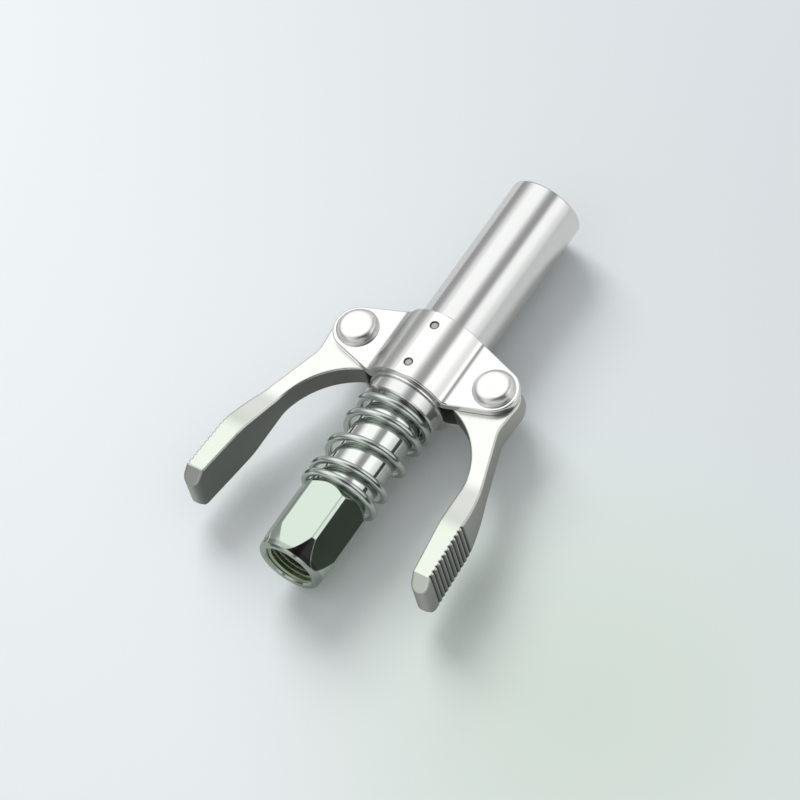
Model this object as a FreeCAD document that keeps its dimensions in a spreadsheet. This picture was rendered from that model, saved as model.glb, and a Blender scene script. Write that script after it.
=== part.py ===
import FreeCAD, Part
import math
import os
import re
import Sketcher
from FreeCAD import Placement, Rotation, Vector

# Quick-release grease coupler. +Y runs along the axis from the tapped inlet to the nose, Z stands
# across the plane that the handles swing in, and the origin is the centre of the inlet's mouth.
# All sizes are millimetres. A "Station" is a distance along the axis from the inlet's mouth.

doc = FreeCAD.newDocument("GreaseCoupler")
sheet = doc.addObject("Spreadsheet::Sheet", "Dims")

sizes = {
    "OverallLength": 90,
    # Hexagonal inlet, turned down a little over its corners at both ends
    "InletFlats": 13,
    "InletTurnAngle": -3.8,
    "InletLength": 16.2,
    "InletCornerDiameter": 14.55,
    "InletRearDiameter": 12.95,
    "InletRearBevel": 0.35,
    "InletTaperLength": 4.8,
    "InletFrontTaper": 1.3,
    "InletShoulderDiameter": 12.7,
    "InletBoreDiameter": 9.8,
    "InletBoreDepth": 10.5,
    "InletMouthDiameter": 10.6,
    "InletMouthBevel": 0.4,
    # Stem, its grease passage and its ring grooves
    "StemDiameter": 11.4,
    "StemEndStation": 66.2,
    "PassageDiameter": 3.2,
    "PassageConeLength": 2,
    "ChamberDiameter": 5.2,
    "ToeGrooveFloorDiameter": 8.5,
    "ToeGrooveClearance": 0.3,
    "HeelGrooveStation": 62.2,
    "HeelGrooveWidth": 2,
    "HeelGrooveFloorDiameter": 7.7,
    "HeelRimDiameter": 9.3,
    # Check valve
    "SeatStation": 50.6,
    "BallDiameter": 4.2,
    "BallLift": 1,
    "CheckSpringDiameter": 3.35,
    "CheckSpringWire": 0.35,
    "CheckSpringTurns": 5,
    "RetainerStation": 57.8,
    "RetainerThickness": 1,
    "RetainerHoleDiameter": 2,
    "RetainerFit": 0.01,
    # Sleeve
    "SleeveDiameter": 15,
    "SleeveRearStation": 37.6,
    "SleeveRunningClearance": 0.08,
    "SleeveEdgeRound": 0.5,
    "SleeveRearBevel": 0.3,
    "ThroatDiameter": 9.9,
    "ThroatLength": 3.8,
    "ThroatRunIn": 1.2,
    "NoseConeLength": 6,
    "MouthDiameter": 12.1,
    "SqueezeTravel": 3.5,
    # Yoke: two pressed plates round the sleeve, with the handles between their ears
    "YokeRearStation": 41.05,
    "YokeLength": 14.85,
    "PlateThickness": 1.45,
    "PlateFit": 0.03,
    "CrownHalfWidth": 8.3,
    "CrownFillet": 2.4,
    "CrownFlatDepth": 0.1,
    "PlateEdgeRound": 0.3,
    "PlateCornerRound": 0.5,
    "EarRadius": 4.9,
    "RivetSpacing": 30.9,
    "RivetStation": 48.3,
    "LockPinDiameter": 1.8,
    "LockPinBevel": 0.3,
    "LockPinFit": 0.02,
    "LockPinInset": 2.9,
    "LockPinRecess": 0.15,
    "SnapRingThickness": 0.6,
    "SnapRingProud": 0.5,
    "SnapRingDepth": 0.4,
    "SnapRingFit": 0.03,
    "SnapRingGapAngle": 36,
    # Rivets
    "RivetDiameter": 4,
    "RivetHoleFit": 0.02,
    "RivetHeadDiameter": 8.3,
    "RivetRimHeight": 0.3,
    "RivetRimStep": 0.3,
    "RivetHeadHeight": 1.5,
    "RivetHeadRound": 1.2,
    # Handles, measured from their own rivet: "Out" is away from the coupler's axis
    "LeverThickness": 5,
    "LeverSideClearance": 0.1,
    "LeverRunningClearance": 0.08,
    "ToeReach": 11,
    "ToeWidth": 2.8,
    "ToeRound": 1.2,
    "ToeRootIn": 4.4,
    "ToeRootRound": 1,
    "HeadTopForward": 3.8,
    "HeadTopIn": 2.6,
    "HeadTopRound": 3,
    "HeadOut": 5.9,
    "HeadRound": 4.7,
    "NapeOut": 4.95,
    "NapeDrop": 6.6,
    "NapeRound": 6,
    "BackOut": 11.2,
    "BackDrop": 24.9,
    "BackRound": 43,
    "LeverDrop": 42.9,
    "TipOut": 12.25,
    "TipWidth": 3.7,
    "TipRound": 1.7,
    "ElbowOut": 4.25,
    "ElbowDrop": 10.35,
    "ElbowRound": 17,
    "ShoulderIn": 5.6,
    "ShoulderDrop": 6.5,
    "ShoulderRound": 0.6,
    "GripThickness": 9.6,
    "GripRampStart": 19.3,
    "GripRampEnd": 28.8,
    "GripRampRound": 12,
    "GripNoseBevel": 2.6,
    "GripHeelBevel": 0.8,
    "LeverEdgeRound": 0.45,
    "ToothCount": 11,
    "ToothPitch": 1.15,
    "ToothDepth": 0.5,
    "ToothMargin": 2.9,
    "ToothSlant": 0.3,
    # Return spring
    "SpringWire": 1.5,
    "SpringDiameter": 15.8,
    "SpringTurns": 5,
    "SpringClosing": 0.6,
    "SpringSeatRise": 0.25,
    "SpringStartAngle": -118,
    # Jaws
    "JawAngle": 84,
    "JawHeelDiameter": 11,
    "JawGrooveClearance": 0.15,
    "JawShoulderStation": 68.5,
    "JawNeckStation": 75.5,
    "JawNeckDiameter": 8.6,
    "JawConeClearance": 0.1,
    "JawConeSetback": 0.2,
    "JawNeckRamp": 0.3,
    "JawBoreDiameter": 6.7,
    "LipDiameter": 5.5,
    "LipMouthDiameter": 6.8,
    "LipMouthBevel": 0.7,
    "LipLength": 1.3,
    "LipCatchLength": 1,
    "JawEdgeRound": 0.2,
    "JawRingStation": 67.5,
    "JawRingSection": 0.8,
    "JawRingSlack": 0.13,
    "JawRingFloorDiameter": 9.5,
    # Seal and its sliding carrier
    "CarrierDiameter": 6.2,
    "CarrierHeadStation": 68.8,
    "CarrierTailStation": 63.4,
    "CarrierTailClearance": 0.08,
    "CarrierFrontSetback": 2.6,
    "CarrierPassageDiameter": 2,
    "CarrierEdge": 0.25,
    "RingGrooveStation": 64.0,
    "RingGrooveWidth": 1.2,
    "RingSection": 0.92,
    "RingGrip": 0.06,
    "SealDiameter": 4.56,
    "SealSeatClearance": 0.02,
    "SealSeatDepth": 4,
    "SealProud": 0.4,
    "SealLipRound": 0.3,
    "SealSpringDiameter": 4.9,
    "SealSpringWire": 0.35,
    "SealSpringTurns": 5,
}

for row, (alias, value) in enumerate(sizes.items(), start=1):
    sheet.set(f"A{row}", alias)
    sheet.set(f"B{row}", str(value))
    sheet.setAlias(f"B{row}", alias)
doc.recompute()


def size(alias):
    return float(sheet.get(alias))


def bound(text):
    """The expression text with every size name tied to its cell in the sheet."""
    return re.sub(r"\b([A-Z]\w+)", r"Dims.\1", text)


# Shared derived sizes, as expression text
pivotX = "RivetSpacing / 2"
stemR = "StemDiameter / 2"
boreR = "(StemDiameter / 2 + SleeveRunningClearance)"
sleeveR = "SleeveDiameter / 2"
earFloor = "(LeverThickness / 2 + LeverSideClearance)"
earTop = f"({earFloor} + PlateThickness)"
crownInnerR = "(SleeveDiameter / 2 + PlateFit)"
crownR = "(SleeveDiameter / 2 + PlateFit + PlateThickness)"
toeHalf = "(ToeWidth / 2 + ToeGrooveClearance)"
throatEnd = "OverallLength - NoseConeLength"
chamberR = "ChamberDiameter / 2"
heelFront = "(HeelGrooveStation + HeelGrooveWidth)"


def newBody(label):
    body = doc.addObject("PartDesign::Body", label)
    body.Label = label
    return body


def newSketch(body, name, role, lift=None):
    """A sketch on one of the body's own origin planes, lifted along its normal if asked."""
    sketch = body.newObject("Sketcher::SketchObject", f"{body.Name}_{name}")
    plane = next(item for item in body.Origin.OriginFeatures if item.Role == role)
    sketch.AttachmentSupport = [(plane, "")]
    sketch.MapMode = "FlatFace"
    if lift:
        sketch.setExpression("AttachmentOffset.Base.z", bound(lift))
    return sketch


def addMark(sketch, across, along):
    """A construction point whose two coordinates are bound to the sheet."""
    mark = sketch.addGeometry(Part.Point(Vector(1 + sketch.GeometryCount, 2, 0)), True)
    for kind, text in (("DistanceX", across), ("DistanceY", along)):
        place = sketch.addConstraint(Sketcher.Constraint(kind, -1, 1, mark, 1, 1.0))
        sketch.setExpression(f"Constraints[{place}]", bound(text))
    return mark


def addArc(sketch, centre, radius, start, end):
    """An arc from start to end the short way round; returns it with the ends' numbers."""
    first = math.atan2(start.y - centre.y, start.x - centre.x)
    last = math.atan2(end.y - centre.y, end.x - centre.x)
    anticlockwise = (last - first) % (2 * math.pi) < math.pi
    if not anticlockwise:
        first, last = last, first
    circle = Part.Circle(centre, Vector(0, 0, 1), radius)
    arc = sketch.addGeometry(Part.ArcOfCircle(circle, first, last))
    return (arc, 1, 2) if anticlockwise else (arc, 2, 1)


def outline(sketch, corners):
    """A closed outline through corners (across, along) or (across, along, name of its round)."""
    marks = [addMark(sketch, corner[0], corner[1]) for corner in corners]
    doc.recompute()
    points = [sketch.getPoint(mark, 1) for mark in marks]
    count = len(points)
    rounds = []
    for index, corner in enumerate(corners):
        here = points[index]
        back = points[index - 1] - here
        ahead = points[(index + 1) % count] - here
        half = back.getAngle(ahead) / 2
        radius = 0
        if len(corner) > 2:
            # A round never takes more than its share of the two sides that it joins
            radius = min(size(corner[2]), 0.985 * min(back.Length, ahead.Length) * math.tan(half))
        cut = radius / math.tan(half) if radius else 0
        back.normalize()
        ahead.normalize()
        rounds.append((radius, here + back * cut, here + ahead * cut, here, back, ahead, half))
    lines = []
    for index in range(count):
        start = rounds[index][2]
        end = rounds[(index + 1) % count][1]
        lines.append(sketch.addGeometry(Part.LineSegment(start, end)))
    for index, (radius, arrive, leave, here, back, ahead, half) in enumerate(rounds):
        before, after = lines[index - 1], lines[index]
        if not radius:
            sketch.addConstraint(Sketcher.Constraint("Coincident", before, 2, marks[index], 1))
            sketch.addConstraint(Sketcher.Constraint("Coincident", after, 1, marks[index], 1))
            continue
        bisector = back + ahead
        bisector.normalize()
        centre = here + bisector * (radius / math.sin(half))
        arc, startEnd, leaveEnd = addArc(sketch, centre, radius, arrive, leave)
        sketch.addConstraint(Sketcher.Constraint("Tangent", before, 2, arc, startEnd))
        sketch.addConstraint(Sketcher.Constraint("Tangent", arc, leaveEnd, after, 1))
        sketch.addConstraint(Sketcher.Constraint("PointOnObject", marks[index], 1, before))
        sketch.addConstraint(Sketcher.Constraint("PointOnObject", marks[index], 1, after))
        place = sketch.addConstraint(Sketcher.Constraint("Radius", arc, radius))
        if radius == size(corners[index][2]):
            sketch.setExpression(f"Constraints[{place}]", bound(corners[index][2]))


def addCircle(sketch, across, along, diameter):
    """A circle whose centre and diameter are bound to the sheet."""
    mark = addMark(sketch, across, along)
    doc.recompute()
    circle = sketch.addGeometry(Part.Circle(sketch.getPoint(mark, 1), Vector(0, 0, 1), 1))
    sketch.addConstraint(Sketcher.Constraint("Coincident", circle, 3, mark, 1))
    place = sketch.addConstraint(Sketcher.Constraint("Diameter", circle, 2.0))
    sketch.setExpression(f"Constraints[{place}]", bound(diameter))


def addFeature(body, kind, name, sketch, **values):
    """A feature of the body made from a sketch; text values are bound to the sheet."""
    feature = body.newObject(f"PartDesign::{kind}", f"{body.Name}_{name}")
    feature.Profile = sketch
    for key, value in values.items():
        if isinstance(value, str) and key in ("Length", "Angle"):
            feature.setExpression(key, bound(value))
        else:
            setattr(feature, key, value)
    return feature


def pad(body, name, sketch, length, **values):
    return addFeature(body, "Pad", name, sketch, Length=length, **values)


def cutThrough(body, name, sketch):
    """A pocket right through the body, both ways from the sketch."""
    return addFeature(body, "Pocket", name, sketch, Type="ThroughAll", Midplane=True)


def turned(body, name, corners, kind="Revolution", angle="360", **values):
    """Turns a profile given as (radius, station) corners about the coupler's axis."""
    sketch = newSketch(body, f"{name}Profile", "XY_Plane")
    outline(sketch, corners)
    return addFeature(body, kind, name, sketch, ReferenceAxis=(sketch, ["V_Axis"]), Angle=angle, **values)


def dress(body, kind, name, test, amount):
    """A fillet or chamfer on the edges of the body's last feature that pass the test."""
    doc.recompute()
    base = body.Tip
    edges = [f"Edge{place}" for place, edge in enumerate(base.Shape.Edges, start=1) if test(edge)]
    feature = body.newObject(f"PartDesign::{kind}", f"{body.Name}_{name}")
    feature.Base = (base, edges)
    key = "Radius" if kind == "Fillet" else "Size"
    feature.setExpression(key, bound(amount))
    return feature


def place(item, x="0", y="0", z="0"):
    """Ties the item's place to the sheet."""
    for axis, text in (("x", x), ("y", y), ("z", z)):
        item.setExpression(f"Placement.Base.{axis}", bound(text))


# Inlet body: hexagon, stem and the stepped grease passage, in one piece
def makeInletBody():
    body = newBody("inlet_body")
    sketch = newSketch(body, "Hexagon", "XZ_Plane")
    corner = "InletFlats / sqrt(3)"
    outline(sketch, [(f"{corner} * cos(InletTurnAngle + {60 * side})",
                      f"{corner} * sin(InletTurnAngle + {60 * side})") for side in range(6)])
    pad(body, "HexagonPad", sketch, "InletLength", Reversed=True)
    clear = "InletFlats"
    turned(body, "CornerTurning", [
        ("InletRearDiameter / 2 - InletRearBevel", "-1"),
        ("InletRearDiameter / 2 - InletRearBevel", "0"),
        ("InletRearDiameter / 2", "InletRearBevel"),
        ("InletCornerDiameter / 2", "InletTaperLength"),
        ("InletCornerDiameter / 2", "InletLength - InletFrontTaper"),
        ("InletShoulderDiameter / 2", "InletLength"),
        ("InletShoulderDiameter / 2", "InletLength + 1"),
        (clear, "InletLength + 1"),
        (clear, "-1")], kind="Groove")
    turned(body, "Stem", [
        ("0", "InletBoreDepth"),
        (stemR, "InletBoreDepth"),
        (stemR, f"RivetStation - {toeHalf}"),
        ("ToeGrooveFloorDiameter / 2", f"RivetStation - {toeHalf}"),
        ("ToeGrooveFloorDiameter / 2", f"RivetStation + {toeHalf}"),
        (stemR, f"RivetStation + {toeHalf}"),
        (stemR, "HeelGrooveStation"),
        ("HeelGrooveFloorDiameter / 2", "HeelGrooveStation"),
        ("HeelGrooveFloorDiameter / 2", heelFront),
        ("HeelRimDiameter / 2", heelFront),
        ("HeelRimDiameter / 2", "StemEndStation"),
        ("0", "StemEndStation")])
    turned(body, "Passage", [
        ("0", "-1"),
        ("InletMouthDiameter / 2", "-1"),
        ("InletMouthDiameter / 2", "0"),
        ("InletBoreDiameter / 2", "InletMouthBevel"),
        ("InletBoreDiameter / 2", "InletBoreDepth"),
        ("PassageDiameter / 2", "InletBoreDepth + PassageConeLength"),
        ("PassageDiameter / 2", "SeatStation"),
        (chamberR, "SeatStation"),
        (chamberR, "StemEndStation + 1"),
        ("0", "StemEndStation + 1")], kind="Groove")


# Sleeve: plain tube whose nose opens in a cone that closes the jaws
def makeSleeve():
    body = newBody("sleeve")
    ringRear = "YokeRearStation - SnapRingThickness - SnapRingFit"
    turned(body, "Tube", [
        (boreR, "SleeveRearStation"),
        (f"{sleeveR} - SleeveRearBevel", "SleeveRearStation"),
        (sleeveR, "SleeveRearStation + SleeveRearBevel"),
        (sleeveR, ringRear),
        (f"{sleeveR} - SnapRingDepth", ringRear),
        (f"{sleeveR} - SnapRingDepth", "YokeRearStation"),
        (sleeveR, "YokeRearStation"),
        (sleeveR, "OverallLength", "SleeveEdgeRound"),
        ("MouthDiameter / 2", "OverallLength"),
        ("ThroatDiameter / 2", throatEnd),
        ("ThroatDiameter / 2", f"{throatEnd} - ThroatLength"),
        (boreR, f"{throatEnd} - ThroatLength - ThroatRunIn")])
    slots = newSketch(body, "ToeSlots", "YZ_Plane")
    slotTop = f"({earFloor} + 2 * LeverSideClearance)"
    rear = f"RivetStation - {toeHalf} - LeverSideClearance"
    front = f"RivetStation + {toeHalf} + SqueezeTravel + 2 * ToeGrooveClearance"
    outline(slots, [(rear, f"-{slotTop}", "ToeRootRound"), (front, f"-{slotTop}", "ToeRootRound"),
                    (front, slotTop, "ToeRootRound"), (rear, slotTop, "ToeRootRound")])
    cutThrough(body, "ToeSlotCut", slots)
    pins = newSketch(body, "LockPinHoles", "XY_Plane")
    for station in lockPinStations:
        addCircle(pins, "0", station, "LockPinDiameter + 2 * LockPinFit")
    cutThrough(body, "LockPinHoleCut", pins)


lockPinStations = ("YokeRearStation + LockPinInset", "YokeRearStation + YokeLength - LockPinInset")


def earOutline(sketch):
    """The yoke's outline from above: a straight crown and two ears that taper to round ends."""
    front = "YokeRearStation + YokeLength"
    reach = "RivetSpacing"
    outline(sketch, [(f"-{reach}", "YokeRearStation - 3"), (reach, "YokeRearStation - 3"),
                     (reach, f"{front} + 3"), (f"-{reach}", f"{front} + 3")])
    ends = []
    for sign in ("", "-"):
        corners = [addMark(sketch, f"{sign}CrownHalfWidth", station)
                   for station in (front, "YokeRearStation")]
        centre = addMark(sketch, f"{sign}{pivotX}", "RivetStation")
        doc.recompute()
        middle = sketch.getPoint(centre, 1)
        side = 1 if middle.x > 0 else -1
        touches = []
        for corner, turn in zip(corners, (-side, side)):
            # The tangent point lies a right angle round from the line that touches the end
            start = sketch.getPoint(corner, 1)
            away = start - middle
            swing = math.acos(size("EarRadius") / away.Length)
            away = Rotation(Vector(0, 0, 1), math.degrees(turn * swing)).multVec(away)
            touches.append(middle + away * (size("EarRadius") / away.Length))
        arc, frontEnd, rearEnd = addEnd(sketch, middle, size("EarRadius"), touches, side)
        sketch.addConstraint(Sketcher.Constraint("Coincident", arc, 3, centre, 1))
        place = sketch.addConstraint(Sketcher.Constraint("Radius", arc, size("EarRadius")))
        sketch.setExpression(f"Constraints[{place}]", bound("EarRadius"))
        for corner, touch, end in zip(corners, touches, (frontEnd, rearEnd)):
            edge = sketch.addGeometry(Part.LineSegment(sketch.getPoint(corner, 1), touch))
            sketch.addConstraint(Sketcher.Constraint("Coincident", edge, 1, corner, 1))
            sketch.addConstraint(Sketcher.Constraint("Tangent", edge, 2, arc, end))
        ends.append(corners)
    for right, left in zip(*ends):
        edge = sketch.addGeometry(Part.LineSegment(sketch.getPoint(right, 1), sketch.getPoint(left, 1)))
        sketch.addConstraint(Sketcher.Constraint("Coincident", edge, 1, right, 1))
        sketch.addConstraint(Sketcher.Constraint("Coincident", edge, 2, left, 1))


def addEnd(sketch, middle, radius, touches, side):
    """The round end of an ear, from its front tangent point to its rear one, round the outside."""
    first, last = (math.atan2(touch.y - middle.y, touch.x - middle.x) for touch in touches)
    if side > 0:
        first, last = last, first
    circle = Part.Circle(middle, Vector(0, 0, 1), radius)
    arc = sketch.addGeometry(Part.ArcOfCircle(circle, first, last))
    return (arc, 2, 1) if side > 0 else (arc, 1, 2)


# Yoke plate: a flat strip and a half-round crown with a narrow flat along its crest, where the lock
# pins go in and on which the coupler rests, all padded along the axis and cut to the outline
def makeYokePlate(label, turn):
    body = newBody(label)
    lift = "-YokeRearStation"
    strip = newSketch(body, "Ears", "XZ_Plane", lift)
    reach = f"({pivotX} + EarRadius + 1)"
    outline(strip, [(f"-{reach}", earFloor), (reach, earFloor), (reach, earTop), (f"-{reach}", earTop)])
    pad(body, "EarPad", strip, "YokeLength", Reversed=True)
    crown = newSketch(body, "Crown", "XZ_Plane", lift)
    addCircle(crown, "0", "0", f"2 * {crownR}")
    pad(body, "CrownPad", crown, "YokeLength", Reversed=True)
    below = newSketch(body, "Below", "XZ_Plane")
    outline(below, [(f"-{reach}", f"-{reach}"), (reach, f"-{reach}"), (reach, earFloor), (f"-{reach}", earFloor)])
    cutThrough(body, "BelowCut", below)
    seat = newSketch(body, "SleeveSeat", "XZ_Plane")
    addCircle(seat, "0", "0", f"2 * {crownInnerR}")
    cutThrough(body, "SleeveSeatCut", seat)
    flank = newSketch(body, "Outline", "XY_Plane")
    earOutline(flank)
    cutThrough(body, "OutlineCut", flank)
    top = size("LeverThickness") / 2 + size("LeverSideClearance") + size("PlateThickness")
    crownRadius = size("SleeveDiameter") / 2 + size("PlateFit") + size("PlateThickness")
    footX = math.sqrt(crownRadius ** 2 - top ** 2)

    def atCrownFoot(edge):
        box = edge.BoundBox
        onFoot = abs(abs(box.XMin) - footX) < 0.01 and box.XLength < 0.01 and abs(box.ZMin - top) < 0.01
        return onFoot and box.YLength > 1

    dress(body, "Fillet", "CrownFootFillet", atCrownFoot, "CrownFillet")
    cornerX = size("CrownHalfWidth")

    def atCorner(edge):
        box = edge.BoundBox
        upright = box.XLength < 0.01 and box.YLength < 0.01
        return upright and abs(abs(box.XMin) - cornerX) < 0.01

    dress(body, "Fillet", "CornerRound", atCorner, "PlateCornerRound")
    inner = size("SleeveDiameter") / 2 + size("PlateFit") + 0.01

    def onOuterRim(edge):
        # The rim of the outer face all round, seen from above
        middle = edge.valueAt((edge.FirstParameter + edge.LastParameter) / 2)
        box = edge.BoundBox
        alongAxis = box.YLength > 1 and abs(middle.x) < footX + size("CrownFillet")
        vertical = box.XLength < 0.01 and box.YLength < 0.01
        return not alongAxis and not vertical and box.ZMin > top - 0.01 and math.hypot(middle.x, middle.z) > inner

    dress(body, "Fillet", "RimRound", onOuterRim, "PlateEdgeRound")
    crest = newSketch(body, "Crest", "XZ_Plane")
    flat = f"({crownR} - CrownFlatDepth)"
    outline(crest, [(f"-{reach}", flat), (reach, flat), (reach, reach), (f"-{reach}", reach)])
    cutThrough(body, "CrestCut", crest)
    holes = newSketch(body, "Holes", "XY_Plane")
    for sign in ("", "-"):
        addCircle(holes, f"{sign}{pivotX}", "RivetStation", "RivetDiameter + 2 * RivetHoleFit")
    for station in lockPinStations:
        addCircle(holes, "0", station, "LockPinDiameter + 2 * LockPinFit")
    cutThrough(body, "HoleCut", holes)
    body.Placement = Placement(Vector(), Rotation(Vector(0, 1, 0), turn))


# Rivet: shank with a stepped, domed head at both ends, turned about its own upright axis
def makeRivet(label, sign):
    body = newBody(label)
    sketch = newSketch(body, "Profile", "XZ_Plane")
    rimTop = f"({earTop} + RivetRimHeight)"
    top = f"({earTop} + RivetHeadHeight)"
    headR = "RivetHeadDiameter / 2"
    half = [("RivetDiameter / 2", earTop), (headR, earTop), (headR, rimTop),
            (f"{headR} - RivetRimStep", rimTop), (f"{headR} - RivetRimStep", top, "RivetHeadRound"),
            ("0", top)]
    lower = [(corner[0], f"-1 * {corner[1]}") + corner[2:] for corner in reversed(half)]
    outline(sketch, lower + half)
    addFeature(body, "Revolution", "Turned", sketch, ReferenceAxis=(sketch, ["V_Axis"]), Angle="360")
    place(body, x=f"{sign}{pivotX}", y="RivetStation")


def onFaceRim(shape, edge):
    """True for an edge between an upright side of a handle and one of its two broad faces."""
    middle = edge.valueAt((edge.FirstParameter + edge.LastParameter) / 2)
    lifts = []
    for face in shape.ancestorsOfType(edge, Part.Face):
        lifts.append(abs(face.normalAt(*face.Surface.parameter(middle)).z))
    return len(lifts) == 2 and min(lifts) < 0.1 and max(lifts) > 0.6


# Handle: flat head with its toe, curved neck and a deeper, serrated grip
def makeLever(label, sign):
    body = newBody(label)

    def across(text):
        return f"{sign}({text})"

    plan = newSketch(body, "Plan", "XY_Plane")
    outline(plan, [
        (across("-ToeReach"), "ToeWidth / 2", "ToeRound"),
        (across("-ToeRootIn"), "ToeWidth / 2", "ToeRootRound"),
        (across("-HeadTopIn"), "HeadTopForward", "HeadTopRound"),
        (across("HeadOut"), "HeadTopForward", "HeadRound"),
        (across("NapeOut"), "-NapeDrop", "NapeRound"),
        (across("BackOut"), "-BackDrop", "BackRound"),
        (across("TipOut"), "-LeverDrop", "TipRound"),
        (across("TipOut - TipWidth"), "-LeverDrop", "TipRound"),
        (across("ElbowOut"), "-ElbowDrop", "ElbowRound"),
        (across("-ShoulderIn"), "-ShoulderDrop", "ShoulderRound"),
        (across("-ShoulderIn"), "-ToeWidth / 2", "ShoulderRound"),
        (across("-ToeReach"), "-ToeWidth / 2", "ToeRound")])
    pad(body, "PlanPad", plan, "GripThickness", Midplane=True)
    for name, up, bevel in (("Above", "", "GripNoseBevel"), ("Below", "-", "GripHeelBevel")):
        relief = newSketch(body, name, "YZ_Plane")
        face = "LeverThickness / 2"
        gripFace = "GripThickness / 2"
        outline(relief, [
            ("ToeReach", f"{up}{face}"), ("-GripRampStart", f"{up}{face}", "GripRampRound"),
            ("-GripRampEnd", f"{up}{gripFace}", "GripRampRound"), (f"-LeverDrop + {bevel}", f"{up}{gripFace}"),
            ("-LeverDrop - 1", f"{up}({gripFace} - {bevel} - 1)"),
            ("-LeverDrop - 1", f"{up}GripThickness"), ("ToeReach", f"{up}GripThickness")])
        cutThrough(body, f"{name}Cut", relief)
    dress(body, "Fillet", "EdgeRound", lambda edge: onFaceRim(body.Tip.Shape, edge), "LeverEdgeRound")
    hole = newSketch(body, "RivetHole", "XY_Plane")
    addCircle(hole, "0", "0", "RivetDiameter + 2 * LeverRunningClearance")
    cutThrough(body, "RivetHoleCut", hole)
    notch = newSketch(body, "Tooth", "XY_Plane")
    first = "(-LeverDrop + ToothMargin)"
    lean = "(TipOut - BackOut) / (LeverDrop - BackDrop)"
    face = f"TipOut - ToothMargin * {lean}"
    outline(notch, [
        (across(f"{face} - ToothDepth"), first),
        (across(f"{face} + ToothDepth"), f"{first} - ToothPitch * ToothSlant"),
        (across(f"{face} + ToothDepth"), f"{first} + 2 * ToothPitch * (1 - ToothSlant)")])
    guide = notch.addGeometry(Part.LineSegment(Vector(0, 0, 0), Vector(-0.06, 1, 0)), True)
    notch.addConstraint(Sketcher.Constraint("Coincident", guide, 1, -1, 1))
    notch.addConstraint(Sketcher.Constraint("Coincident", guide, 2, addMark(notch, across(f"-{lean}"), "1"), 1))
    tooth = cutThrough(body, "ToothCut", notch)
    row = body.newObject("PartDesign::LinearPattern", f"{body.Name}_ToothRow")
    row.Originals = [tooth]
    row.Direction = (notch, ["Axis0"])
    row.setExpression("Length", bound("ToothPitch * (ToothCount - 1)"))
    row.setExpression("Occurrences", bound("ToothCount"))
    body.Tip = row
    place(body, x=f"{sign}{pivotX}", y="RivetStation")


# Springs: a round wire along a helix whose pitch closes towards both ends
def makeSpring(label, meanRadius, wire, turns, closing, start, end, startAngle):
    points = []
    steps = int(turns * 16)
    for step in range(steps + 1):
        share = step / steps
        swell = share - closing / (2 * math.pi) * math.sin(2 * math.pi * share)
        angle = math.radians(startAngle) - 2 * math.pi * turns * share
        points.append(Vector(meanRadius * math.cos(angle), start + (end - start) * swell,
                             meanRadius * math.sin(angle)))
    curve = Part.BSplineCurve()
    curve.interpolate(points)
    section = Part.Wire(Part.makeCircle(wire / 2, points[0], curve.tangent(curve.FirstParameter)[0]))
    spring = doc.addObject("Part::Feature", label)
    spring.Shape = Part.Wire(curve.toShape()).makePipeShell([section], True, True)
    spring.Label = label


def makeSprings():
    wire = size("SpringWire")
    makeSpring("return_spring", (size("SpringDiameter") - wire) / 2, wire, size("SpringTurns"),
               size("SpringClosing"), size("InletLength") + size("SpringSeatRise"),
               size("SleeveRearStation") - wire / 2 - 0.01, size("SpringStartAngle"))
    # The check spring stands on the ball's shoulder and the seal spring on the retainer
    wire = size("CheckSpringWire")
    radius = (size("CheckSpringDiameter") - wire) / 2
    ballR = size("BallDiameter") / 2
    ballStation = size("SeatStation") + math.sqrt(ballR ** 2 - (size("PassageDiameter") / 2) ** 2)
    onBall = ballStation + math.sqrt((ballR + wire / 2 + 0.02) ** 2 - radius ** 2)
    makeSpring("check_spring", radius, wire, size("CheckSpringTurns"), size("SpringClosing"), onBall,
               size("RetainerStation") - wire / 2 - 0.02, 0)
    wire = size("SealSpringWire")
    makeSpring("seal_spring", (size("SealSpringDiameter") - wire) / 2, wire, size("SealSpringTurns"),
               size("SpringClosing"), size("RetainerStation") + size("RetainerThickness") + wire / 2 + 0.02,
               size("CarrierTailStation") - wire / 2 - 0.02, 0)


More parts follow.
